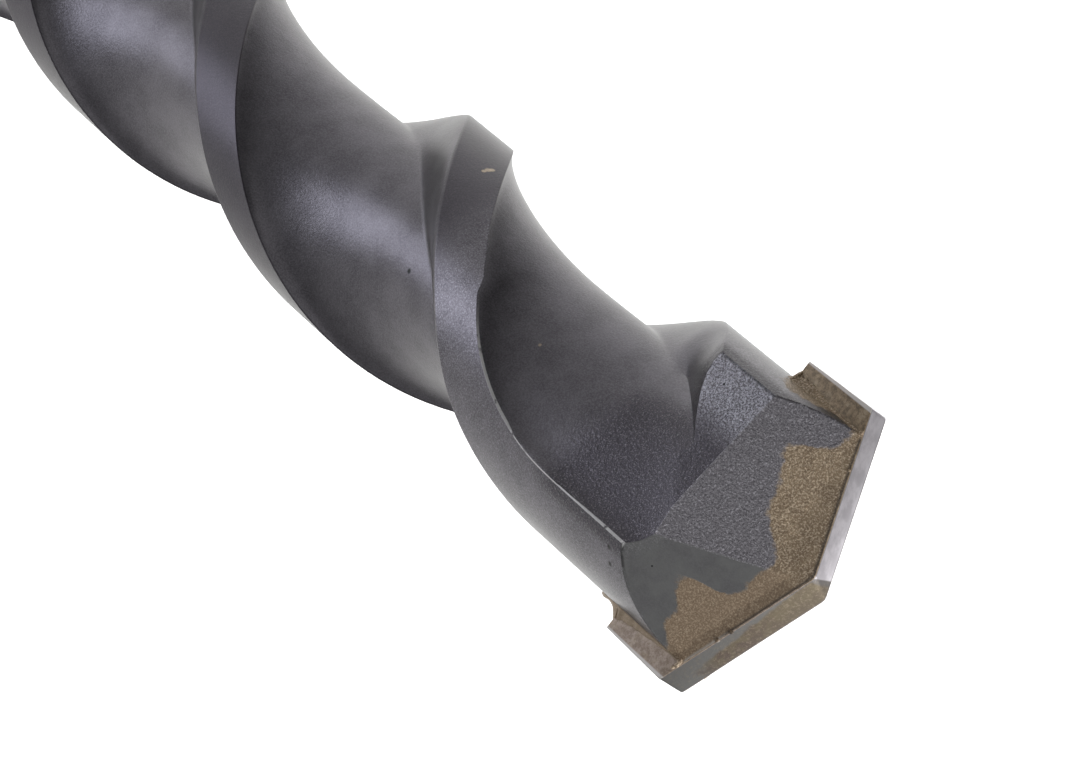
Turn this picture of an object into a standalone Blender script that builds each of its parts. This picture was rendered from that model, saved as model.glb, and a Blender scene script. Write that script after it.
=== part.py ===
"""SDS plus masonry drill bit, 12 x 160 mm: a forged steel body with a brazed carbide insert.

Lengths are metres and angles are radians. The bit stands on the flat end of its shank at
Z = 0, with its point at Z = OVERALL_LENGTH. +X is the normal of the insert's broad faces,
so the insert's two corners lie at +Y and -Y. An angle round the axis is counted from +X
towards +Y, the way that a right-hand helix turns as Z grows.
"""

from math import acos, cos, exp, log, pi, radians, sin, sqrt, tan

import bmesh
import bpy
from mathutils import Matrix, Vector

# Overall sizes
OVERALL_LENGTH = 0.160
CUT_DIAMETER = 0.012
BODY_DIAMETER = 0.0102
WEB_DIAMETER = 0.0063

# Helix: two flutes, each with a wall ahead of a land, steeper by the head, and a long slope
HELIX_LEAD = 0.035
LAND_ANGLE = radians(31)
WALL_START = radians(3)
WALL_END = radians(27)
HEAD_WALL_START = radians(0.5)
HEAD_WALL_END = radians(17)
WALL_CHANGE_START = 0.0112
WALL_CHANGE_LENGTH = 0.0022
VALLEY_ANGLE = radians(65)
VALLEY_TILT = 0.09
SLOPE_POWER = 0.6
FLUTE_RUN_IN = 0.014
FLUTE_RUN_OUT_START = 0.0114
FLUTE_RUN_OUT_LENGTH = 0.0096
FLUTE_LEAST_DEPTH = 0.2

# Head: each side has one flat, whose edges take over from the helical edges
HEAD_LENGTH = 0.0077
HEAD_TWIST_END = 0.0045
FLAT_DISTANCE = 0.0035
FLAT_TURN = radians(-12)
FLAT_LENGTH = 0.0085
FLAT_RUN_OUT_RADIUS = 0.010
EDGE_BLEND = radians(14)
HEEL_FACET_SLOPE = radians(42)
RAKE_FACET_SLOPE = radians(53)
RAKE_FACET_FALL = radians(19.5)
HEEL_FACET_STEP = 0.00024
RAKE_FACET_STEP = 0.00055

# Carbide insert, and the braze round it
INSERT_THICKNESS = 0.00125
INSERT_HEIGHT = 0.0061
POINT_ANGLE = radians(132)
RELIEF_ANGLE = radians(9.5)
INSERT_CHAMFER = 0.0002
BRAZE_THICKNESS = 0.00012
BRAZE_FILLET_LENGTH = 0.0012
BRAZE_SEAT_DEPTH = 0.00025

# SDS plus shank
SHANK_DIAMETER = 0.010
SHANK_LENGTH = 0.040
SHANK_CHAMFER = 0.001
NECK_LENGTH = 0.012
DRIVE_GROOVE_WIDTH = 0.0036
DRIVE_GROOVE_FLOOR = 0.0031
DRIVE_GROOVE_LENGTH = 0.0265
DRIVE_GROOVE_RUN_OUT_RADIUS = 0.012
LOCK_BALL_DIAMETER = 0.007
LOCK_GROOVE_DEPTH = 0.0016
LOCK_GROOVE_START = 0.0085
LOCK_GROOVE_LENGTH = 0.0175

# Fineness of the mesh
RING_STEP = 0.001
HEAD_RING_STEP = 0.0005
WALL_STATIONS = 6
WALL_SHARE = 1 / 3
SLOPE_STATIONS = 9
LAND_STATIONS = 4
ARC_SEGMENTS = 8
ROUND_SEGMENTS = 24
SMOOTH_ANGLE = radians(28)
CUT_MARGIN = 0.002
TOLERANCE = 1e-7

CUT_RADIUS = CUT_DIAMETER / 2
BODY_RADIUS = BODY_DIAMETER / 2
WEB_RADIUS = WEB_DIAMETER / 2
SHANK_RADIUS = SHANK_DIAMETER / 2
FLUTE_START = SHANK_LENGTH + NECK_LENGTH
FLUTE_ANGLE = pi - LAND_ANGLE
FLAT_HALF_ANGLE = acos(min(FLAT_DISTANCE / BODY_RADIUS, 1))
POINT_SLOPE = 1 / tan(POINT_ANGLE / 2)
RELIEF_SLOPE = tan(RELIEF_ANGLE)
INSERT_FOOT = OVERALL_LENGTH - INSERT_HEIGHT

STEEL_COLOUR = (0.085, 0.080, 0.092, 1)
CARBIDE_COLOUR = (0.42, 0.41, 0.46, 1)
BRAZE_COLOUR = (0.20, 0.15, 0.085, 1)


def clear_scene():
    for obj in list(bpy.data.objects):
        bpy.data.objects.remove(obj, do_unlink=True)


def make_collection(name):
    collection = bpy.data.collections.new(name)
    bpy.context.scene.collection.children.link(collection)
    return collection


def make_material(name, colour, roughness):
    material = bpy.data.materials.new(name)
    material.use_nodes = True
    shader = material.node_tree.nodes["Principled BSDF"]
    shader.inputs["Base Color"].default_value = colour
    shader.inputs["Metallic"].default_value = 1.0
    shader.inputs["Roughness"].default_value = roughness
    return material


def add_object(bm, name, collection, material=None):
    """Turns a bmesh into an object, with its faces pointing out."""
    bmesh.ops.recalc_face_normals(bm, faces=bm.faces)
    mesh = bpy.data.meshes.new(name)
    bm.to_mesh(mesh)
    bm.free()
    obj = bpy.data.objects.new(name, mesh)
    collection.objects.link(obj)
    if material:
        mesh.materials.append(material)
        mesh.shade_smooth()
        mesh.set_sharp_from_angle(angle=SMOOTH_ANGLE)
    return obj


def add_cutter(bm, name, collection):
    obj = add_object(bm, name, collection)
    obj.hide_render = True
    obj.display_type = "WIRE"
    return obj


def cut(obj, cutter):
    modifier = obj.modifiers.new("cut " + cutter.name, "BOOLEAN")
    modifier.operation = "DIFFERENCE"
    modifier.solver = "EXACT"
    modifier.object = cutter


def smooth_step(share):
    share = min(max(share, 0), 1)
    return share * share * (3 - 2 * share)


def axis_point(height, angle, radius):
    """The point at this height, and at this radius and angle round the bit's axis."""
    return Vector((radius * cos(angle), radius * sin(angle), height))


def about_axis(angle):
    """Turns a shape about the bit's axis, counted as every angle here is."""
    return Matrix.Rotation(angle, 4, "Z")


def prism(outline, half_width):
    """An outline of (height, distance from the axis), extruded each side of the plane Y = 0."""
    bm = bmesh.new()
    corners = [bm.verts.new((out, -half_width, height)) for height, out in outline]
    face = bm.faces.new(corners)
    grown = bmesh.ops.extrude_face_region(bm, geom=[face])["geom"]
    moved = [item for item in grown if isinstance(item, bmesh.types.BMVert)]
    bmesh.ops.translate(bm, verts=moved, vec=(0, 2 * half_width, 0))
    return bm


def run_out(floor, top, end, radius, forwards):
    """A groove floor's run-out: an arc that leaves the floor at end and climbs to top."""
    climb = min(top - floor, radius)
    turn = acos(1 - climb / radius)
    side = 1 if forwards else -1
    points = []
    for step in range(ARC_SEGMENTS + 1):
        angle = turn * step / ARC_SEGMENTS
        points.append((end + side * radius * sin(angle), floor + radius * (1 - cos(angle))))
    return points


def trim(bm, point, normal):
    """Cuts away what lies beyond a plane, and closes the cut with a flat face."""
    geometry = bm.verts[:] + bm.edges[:] + bm.faces[:]
    bmesh.ops.bisect_plane(
        bm, geom=geometry, dist=TOLERANCE, plane_co=point, plane_no=normal, clear_outer=True
    )
    open_edges = [edge for edge in bm.edges if edge.is_boundary]
    bmesh.ops.holes_fill(bm, edges=open_edges, sides=0)


def flat_edges():
    """The angles of a head flat's leading-side and trailing-side edges."""
    return FLAT_TURN - FLAT_HALF_ANGLE, FLAT_TURN + FLAT_HALF_ANGLE


def lead_angle(height):
    """The angle of a land's leading edge, which meets the flat's edge where the head starts."""
    station = min(height, OVERALL_LENGTH - HEAD_TWIST_END)
    start_of_head = OVERALL_LENGTH - HEAD_LENGTH
    return flat_edges()[0] + (station - start_of_head) * 2 * pi / HELIX_LEAD


def flute_width(height):
    """The angle from a land's leading edge to the trailing edge ahead of it.

    The trailing edge follows the helix, and bends near the head into the flat's straight edge.
    """
    lead = lead_angle(height)
    helical = lead + FLUTE_ANGLE
    straight = flat_edges()[1]
    nearer = min(helical, straight)
    spread = exp((nearer - helical) / EDGE_BLEND) + exp((nearer - straight) / EDGE_BLEND)
    return nearer - EDGE_BLEND * log(spread) - lead


def wall_edges(height):
    """The angles past a land's leading edge at which the wall ahead of it starts and ends."""
    share = smooth_step((height - OVERALL_LENGTH + WALL_CHANGE_START) / WALL_CHANGE_LENGTH)
    start = WALL_START + (HEAD_WALL_START - WALL_START) * share
    return start, WALL_END + (HEAD_WALL_END - WALL_END) * share


def flute_depth(height, angle, width):
    """The share of the full depth at an angle past a land's leading edge."""
    valley = VALLEY_ANGLE * width / FLUTE_ANGLE
    if angle <= valley:
        wall_start, wall_end = wall_edges(height)
        wall = smooth_step((angle - wall_start) / (wall_end - wall_start))
        short = max(valley - angle, 0) / valley
        return wall * (1 - VALLEY_TILT * short * short)
    share = min((angle - valley) / (width - valley), 1)
    return max(1 - share * share, 0) ** SLOPE_POWER


def depth_along(height):
    """The flutes' depth at a height, from none at the neck to full, and fading at the head."""
    run_in = smooth_step((height - FLUTE_START) / FLUTE_RUN_IN)
    past = height - (OVERALL_LENGTH - FLUTE_RUN_OUT_START)
    share = min(max(past / FLUTE_RUN_OUT_LENGTH, 0), 1)
    return run_in * max(sqrt(1 - share * share), FLUTE_LEAST_DEPTH)


def flute_stations(height, width):
    """Angles past the leading edge, close together on the wall and near the trailing edge."""
    wall_top = min(wall_edges(height)[1], width * WALL_SHARE)
    stations = [wall_top * step / WALL_STATIONS for step in range(WALL_STATIONS)]
    for step in range(SLOPE_STATIONS):
        share = sin(pi / 2 * step / SLOPE_STATIONS)
        stations.append(wall_top + (width - wall_top) * share)
    return stations


def section(height):
    """The body's outline at a height, as (angle, radius) pairs round the axis."""
    fluted = smooth_step((height - FLUTE_START) / FLUTE_RUN_IN)
    outer = SHANK_RADIUS + (BODY_RADIUS - SHANK_RADIUS) * fluted
    depth = depth_along(height) * (BODY_RADIUS - WEB_RADIUS)
    lead = lead_angle(max(height, FLUTE_START))
    width = flute_width(max(height, FLUTE_START))
    half = []
    for angle in flute_stations(height, width):
        half.append((angle, outer - depth * flute_depth(height, angle, width)))
    for step in range(LAND_STATIONS):
        half.append((width + (pi - width) * step / LAND_STATIONS, outer))
    even = [pi * step / len(half) for step in range(len(half))]
    pairs = []
    for turn in (0, pi):
        for (angle, radius), level in zip(half, even):
            pairs.append((lead + turn + level + (angle - level) * fluted, radius))
    return pairs


def ring_stations():
    """The heights of the body's sections."""
    stations = [0, SHANK_CHAMFER, SHANK_LENGTH, FLUTE_START]
    head = OVERALL_LENGTH - HEAD_LENGTH - FLAT_LENGTH
    top = OVERALL_LENGTH + HEAD_RING_STEP
    for start, end, step in ((FLUTE_START, head, RING_STEP), (head, top, HEAD_RING_STEP)):
        count = max(round((end - start) / step), 1)
        stations += [start + (end - start) * (index + 1) / count for index in range(count)]
    return stations


def body_loft():
    """The steel body before its head is ground: a closed loft through all sections."""
    bm = bmesh.new()
    rings = []
    for z in ring_stations():
        chamfer = SHANK_CHAMFER if z == 0 else 0
        ring = [bm.verts.new(axis_point(z, a, r - chamfer)) for a, r in section(z)]
        rings.append(ring)
    for low, high in zip(rings, rings[1:]):
        for index, corner in enumerate(low):
            after = (index + 1) % len(low)
            bm.faces.new((corner, low[after], high[after], high[index]))
    bm.faces.new(rings[0])
    bm.faces.new(rings[-1])
    return bm


def grind_head(bm):
    """Grinds the four facets of the head, which fall away from the insert on both sides."""
    half = INSERT_THICKNESS / 2
    rake_foot = Vector((half, 0, OVERALL_LENGTH - RAKE_FACET_STEP))
    heel_foot = Vector((half, 0, OVERALL_LENGTH - HEEL_FACET_STEP))
    rake = Vector((tan(RAKE_FACET_SLOPE), -tan(RAKE_FACET_FALL), 1))
    heel = Vector((tan(HEEL_FACET_SLOPE), POINT_SLOPE, 1))
    for turn in (about_axis(0), about_axis(pi)):
        trim(bm, turn @ rake_foot, turn @ rake)
        trim(bm, turn @ heel_foot, turn @ heel)


def braze_outline():
    """The braze seen along the insert's normal: a sheet with a fillet under each corner."""
    foot = INSERT_FOOT - BRAZE_THICKNESS
    seat = BODY_RADIUS - BRAZE_SEAT_DEPTH
    reach = CUT_RADIUS - INSERT_CHAMFER
    rise = BODY_RADIUS + BRAZE_THICKNESS
    side = [(OVERALL_LENGTH + CUT_MARGIN, rise), (INSERT_FOOT + BRAZE_THICKNESS, rise)]
    side.append((INSERT_FOOT + BRAZE_THICKNESS, reach))
    for step in range(1, ARC_SEGMENTS + 1):
        angle = pi / 2 * step / ARC_SEGMENTS
        side.append((
            INSERT_FOOT - BRAZE_FILLET_LENGTH * (1 - cos(angle)),
            reach - (reach - seat) * sin(angle),
        ))
    side.append((foot, seat))
    return side + [(height, -across) for height, across in reversed(side)]


def braze_block():
    """The braze filled solid, which is also the shape of the slot that it fills."""
    bm = prism(braze_outline(), INSERT_THICKNESS / 2 + BRAZE_THICKNESS)
    bmesh.ops.transform(bm, matrix=about_axis(pi / 2), verts=bm.verts)
    return bm


def insert_blank(margin):
    """The insert as a plain plate, with its foot at its place and margin above the point."""
    length = INSERT_HEIGHT + margin
    bm = bmesh.new()
    size = Matrix.Diagonal((INSERT_THICKNESS, CUT_DIAMETER, length, 1))
    place = Matrix.Translation((0, 0, INSERT_FOOT + length / 2))
    bmesh.ops.create_cube(bm, size=1, matrix=place @ size)
    return bm


def drive_groove(turn):
    """An open, flat-floored groove from the end of the shank."""
    top = SHANK_RADIUS + CUT_MARGIN
    outline = [(-CUT_MARGIN, top), (-CUT_MARGIN, DRIVE_GROOVE_FLOOR)]
    outline += run_out(
        DRIVE_GROOVE_FLOOR, top, DRIVE_GROOVE_LENGTH, DRIVE_GROOVE_RUN_OUT_RADIUS, True
    )
    bm = prism(outline, DRIVE_GROOVE_WIDTH / 2)
    bmesh.ops.transform(bm, matrix=about_axis(turn), verts=bm.verts)
    return bm


def lock_groove(turn):
    """A closed, round-floored groove for a locking ball: a capsule along the shank."""
    radius = LOCK_BALL_DIAMETER / 2
    stretch = LOCK_GROOVE_LENGTH - LOCK_BALL_DIAMETER
    bm = bmesh.new()
    outline = []
    for centre, first in ((0, 0), (stretch, pi / 2)):
        for step in range(ARC_SEGMENTS + 1):
            angle = first + pi / 2 * step / ARC_SEGMENTS
            outline.append(bm.verts.new((radius * sin(angle), 0, centre - radius * cos(angle))))
    edges = [bm.edges.new(pair) for pair in zip(outline, outline[1:])]
    bmesh.ops.spin(
        bm,
        geom=outline + edges,
        axis=(0, 0, 1),
        cent=(0, 0, 0),
        angle=2 * pi,
        steps=ROUND_SEGMENTS,
        use_merge=True,
    )
    bmesh.ops.remove_doubles(bm, verts=bm.verts, dist=TOLERANCE)
    distance = SHANK_RADIUS - LOCK_GROOVE_DEPTH + radius
    place = Matrix.Translation((distance, 0, LOCK_GROOVE_START + radius))
    bmesh.ops.transform(bm, matrix=about_axis(turn) @ place, verts=bm.verts)
    return bm


def head_flat(turn):
    """The cutter of one head flat, which runs out behind the head."""
    top = BODY_RADIUS + CUT_MARGIN
    end = OVERALL_LENGTH - FLAT_LENGTH
    outline = [(OVERALL_LENGTH + CUT_MARGIN, top), (OVERALL_LENGTH + CUT_MARGIN, FLAT_DISTANCE)]
    outline += run_out(FLAT_DISTANCE, top, end, FLAT_RUN_OUT_RADIUS, False)
    bm = prism(outline, BODY_RADIUS + CUT_MARGIN)
    bmesh.ops.transform(bm, matrix=about_axis(turn + FLAT_TURN), verts=bm.verts)
    return bm


def make_steel_body(parts, cutters, material):
    bm = body_loft()
    grind_head(bm)
    body = add_object(bm, "steel_body", parts, material)
    for number, turn in enumerate((0, pi), start=1):
        cut(body, add_cutter(head_flat(turn), f"head_flat_{number}", cutters))
        cut(body, add_cutter(drive_groove(turn), f"drive_groove_{number}", cutters))
        cut(body, add_cutter(lock_groove(turn + pi / 2), f"lock_groove_{number}", cutters))
    cut(body, add_cutter(braze_block(), "insert_slot", cutters))
    return body


def make_insert(parts, material):
    """The insert: two flanks fall from the chisel edge, each with its relief behind its lip."""
    bm = insert_blank(CUT_MARGIN)
    point = Vector((0, 0, OVERALL_LENGTH))
    flank = Vector((RELIEF_SLOPE, POINT_SLOPE, 1))
    for turn in (about_axis(0), about_axis(pi)):
        trim(bm, point, turn @ flank)
    foot = [
        edge
        for edge in bm.edges
        if all(vert.co.z < INSERT_FOOT + TOLERANCE for vert in edge.verts)
        and abs(edge.verts[0].co.y - edge.verts[1].co.y) < TOLERANCE
    ]
    bmesh.ops.bevel(bm, geom=foot, offset=INSERT_CHAMFER, segments=1, affect="EDGES")
    return add_object(bm, "carbide_insert", parts, material)


def make_braze(parts, cutters, material):
    bm = braze_block()
    grind_head(bm)
    braze = add_object(bm, "braze_joint", parts, material)
    cut(braze, add_cutter(insert_blank(CUT_MARGIN), "insert_space", cutters))
    return braze


def main():
    clear_scene()
    parts = make_collection("sds_plus_drill_bit")
    cutters = make_collection("cutters")
    make_steel_body(parts, cutters, make_material("blasted_steel", STEEL_COLOUR, 0.55))
    make_insert(parts, make_material("ground_carbide", CARBIDE_COLOUR, 0.35))
    make_braze(parts, cutters, make_material("braze_metal", BRAZE_COLOUR, 0.6))


main()
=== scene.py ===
"""Looks for a rotary hammer's masonry bit, seen from close in front of its carbide head.

Lengths are metres and angles are radians. The bit stands on its shank, its axis is Z, and an
angle round the axis is counted from +X, the normal of the insert's broad faces, towards +Y.
"""

import logging
from dataclasses import dataclass, field
from enum import Enum
from math import acos, cos, degrees, exp, log, pi, radians, sin, sqrt
from typing import Callable, Iterable, Sequence

import bmesh
import bpy
from mathutils import Matrix, Vector, noise


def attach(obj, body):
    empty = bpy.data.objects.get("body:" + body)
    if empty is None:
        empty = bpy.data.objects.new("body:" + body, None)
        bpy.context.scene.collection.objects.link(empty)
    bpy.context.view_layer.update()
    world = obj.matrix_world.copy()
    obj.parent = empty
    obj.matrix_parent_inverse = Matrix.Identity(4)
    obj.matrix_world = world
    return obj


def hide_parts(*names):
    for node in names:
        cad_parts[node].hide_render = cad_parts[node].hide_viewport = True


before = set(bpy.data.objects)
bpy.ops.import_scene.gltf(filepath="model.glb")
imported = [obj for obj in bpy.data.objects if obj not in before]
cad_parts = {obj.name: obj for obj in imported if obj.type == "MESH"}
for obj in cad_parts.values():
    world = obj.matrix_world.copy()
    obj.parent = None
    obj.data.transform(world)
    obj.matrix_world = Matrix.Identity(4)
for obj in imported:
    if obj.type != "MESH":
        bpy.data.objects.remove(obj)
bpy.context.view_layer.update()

LOG = logging.getLogger("drill_bit")
Colour = tuple[float, float, float]
Mesh = bmesh.types.BMesh
Piece = bpy.types.Object
Material = bpy.types.Material
Span = tuple[float, float]

BIT_LENGTH = 0.160
CUT_RADIUS = 0.006
BODY_RADIUS = 0.0051
INSERT_THICKNESS = 0.00125
INSERT_HEIGHT = 0.0061
POINT_SLOPE = 0.4411
RELIEF_SLOPE = 0.1655
RAKE_NORMAL = Vector((1.341, -0.345, 1))
HEEL_NORMAL = Vector((0.913, 0.426, 1))
RAKE_RISE = 0.000414
HEEL_RISE = 0.00024
FLAT_DISTANCE = 0.00352
FLAT_LENGTH = 0.0088
FLAT_TURN = radians(-12.15)
FLAT_NORMAL = Vector((cos(FLAT_TURN), sin(FLAT_TURN), 0))


class Side(Enum):
    """The bit's two halves, by the turn that brings the first one to it."""

    FRONT = 0.0
    BACK = pi

    @property
    def turn(self) -> Matrix:
        """The turn about the bit's axis, as a matrix."""
        return about_axis(self.value)


class Corner(Enum):
    """The insert's two corners, by the way that each one points along Y."""

    LOWER = 1.0
    UPPER = -1.0


def smooth_step(share: float) -> float:
    """Returns a share of 0 to 1 with its two ends eased."""
    share = min(max(share, 0.0), 1.0)
    return share * share * (3.0 - 2.0 * share)


def eased(share: float, ease: float) -> float:
    """Returns a share held between 0 and 1, with its two ends eased by this much."""
    share = min(max(share, 0.0), 1.0)
    return (1 - ease) * share + ease * smooth_step(share)


def spread(start: float, end: float, step: float) -> list[float]:
    """Returns values from start to just before end, about a step apart."""
    count = max(round((end - start) / step), 1)
    return [start + (end - start) * i / count for i in range(count)]


def about_axis(angle: float) -> Matrix:
    """Returns the turn about the bit's axis by this angle."""
    return Matrix.Rotation(angle, 4, "Z")


def ragged(place: Vector, size: float, seed: float = 0.0) -> float:
    """Returns smooth noise from -1 to 1 at a place, with lumps of about this size."""
    return noise.noise(place / size + Vector((seed, seed, seed)))


def trim(bm: Mesh, point: Vector, normal: Vector) -> None:
    """Cuts away what lies beyond a plane and closes the cut with a flat face.

    Args:
        bm: The closed mesh that is cut.
        point: A point of the plane.
        normal: The plane's normal, which points to what goes.
    """
    geometry = bm.verts[:] + bm.edges[:] + bm.faces[:]
    bmesh.ops.bisect_plane(
        bm, geom=geometry, dist=1e-7, plane_co=point, plane_no=normal, clear_outer=True
    )
    rim = [edge for edge in bm.edges if edge.is_boundary]
    bmesh.ops.holes_fill(bm, edges=rim, sides=0)


def wrap(loops: Sequence[Sequence[Vector]]) -> Mesh:
    """Rolls a flat grid onto closed outlines that lie one after another, and closes its ends.

    Args:
        loops: The outlines, with the same number of points each and no point repeated.

    Returns:
        One closed mesh.
    """
    columns, rows = len(loops[0]), len(loops) - 1
    bm = bmesh.new()
    bmesh.ops.create_grid(bm, x_segments=columns, y_segments=rows, size=1.0)
    for vert in bm.verts:
        column = round((vert.co.x + 1) / 2 * columns) % columns
        vert.co = loops[round((vert.co.y + 1) / 2 * rows)][column]
    bmesh.ops.remove_doubles(bm, verts=bm.verts, dist=1e-7)
    bmesh.ops.holes_fill(bm, edges=[e for e in bm.edges if e.is_boundary], sides=0)
    bmesh.ops.recalc_face_normals(bm, faces=bm.faces)
    return bm


def plain_object(bm: Mesh, name: str) -> Piece:
    """Puts a bmesh into a plain object of the scene, and frees it.

    Args:
        bm: The mesh, which is freed.
        name: The object's name.

    Returns:
        The object.
    """
    mesh = bpy.data.meshes.new(name)
    bm.to_mesh(mesh)
    bm.free()
    piece = bpy.data.objects.new(name, mesh)
    bpy.context.scene.collection.objects.link(piece)
    return piece


def carve(bm: Mesh, cutters: Iterable[Mesh]) -> Mesh:
    """Cuts shapes out of a closed mesh with exact Booleans.

    Args:
        bm: The closed mesh, which is freed.
        cutters: The closed shapes to take away, which are freed too.

    Returns:
        The carved mesh.
    """
    work = plain_object(bm, "work")
    tools = []
    for cutter in cutters:
        bmesh.ops.recalc_face_normals(cutter, faces=cutter.faces)
        tools.append(plain_object(cutter, "tool"))
        modifier = work.modifiers.new("cut", "BOOLEAN")
        modifier.operation = "DIFFERENCE"
        modifier.solver = "EXACT"
        modifier.object = tools[-1]
    carved = bmesh.new()
    carved.from_object(work, bpy.context.evaluated_depsgraph_get())
    for spare in [work] + tools:
        mesh = spare.data
        bpy.data.objects.remove(spare)
        bpy.data.meshes.remove(mesh)
    return carved


def gather(parts: Iterable[Mesh], into: Mesh) -> Mesh:
    """Puts several meshes into one, and frees them.

    Args:
        parts: The meshes to add.
        into: The mesh that takes them.

    Returns:
        The mesh that took them.
    """
    for part in parts:
        mesh = bpy.data.meshes.new("part")
        part.to_mesh(mesh)
        part.free()
        into.from_mesh(mesh)
        bpy.data.meshes.remove(mesh)
    return into


def add_piece(
    bm: Mesh, name: str, material: Material, sharp: float = 30.0
) -> Piece:
    """Turns a bmesh into a smooth-shaded object of the scene.

    Args:
        bm: The mesh, which is freed.
        name: The object's name.
        material: Its one material.
        sharp: Edges that bend by more degrees than this stay sharp.

    Returns:
        The new object.
    """
    bmesh.ops.recalc_face_normals(bm, faces=bm.faces)
    piece = plain_object(bm, name)
    piece.data.materials.append(material)
    piece.data.shade_smooth()
    piece.data.set_sharp_from_angle(angle=radians(sharp))
    return piece


@dataclass(frozen=True)
class Grain:
    """A noise: the size of its lumps, its detail and its roughness.

    Its patches are where it has risen through the span.
    """

    size: float
    detail: float = 2.0
    rough: float = 0.5
    span: Span = (0.0, 1.0)


@dataclass(frozen=True)
class Value:
    """One output of a material's nodes, which can be reckoned with like a number."""

    shader: "Shader"
    socket: bpy.types.NodeSocket

    def __add__(self, other: object) -> "Value":
        """Adds a number or another value."""
        return self.shader.math("ADD", self, other)

    def __sub__(self, other: object) -> "Value":
        """Takes a number or another value away."""
        return self.shader.math("SUBTRACT", self, other)

    def __mul__(self, other: object) -> "Value":
        """Multiplies by a number or another value."""
        return self.shader.math("MULTIPLY", self, other)

    def __or__(self, other: object) -> "Value":
        """Returns the larger of two values."""
        return self.shader.math("MAXIMUM", self, other)

    def __abs__(self) -> "Value":
        """Returns the value without its sign."""
        return self.shader.math("ABSOLUTE", self)

    def step(self, low: float, high: float) -> "Value":
        """Returns 0 to 1 as this value goes from low to high, with eased ends.

        Args:
            low: The value at which the result is 0.
            high: The value at which it is 1.

        Returns:
            The share, which falls where low is the larger one.
        """
        start, end = (0.0, 1.0) if low < high else (1.0, 0.0)
        feeds = {
            "Value": self, "From Min": min(low, high), "From Max": max(low, high),
            "To Min": start, "To Max": end,
        }
        return self.shader.node("ShaderNodeMapRange", "Result", feeds, interpolation_type="SMOOTHSTEP")

    def blend(self, first: object, second: object) -> "Value":
        """Returns the first colour where this value is 0 and the second one where it is 1."""
        return self.shader.node("ShaderNodeMix", 2, {0: self, 6: first, 7: second}, data_type="RGBA")

    def between(self, first: object, second: object) -> "Value":
        """Returns the first number where this value is 0 and the second one where it is 1."""
        return self.shader.node("ShaderNodeMix", 0, {0: self, 2: first, 3: second})


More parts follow.
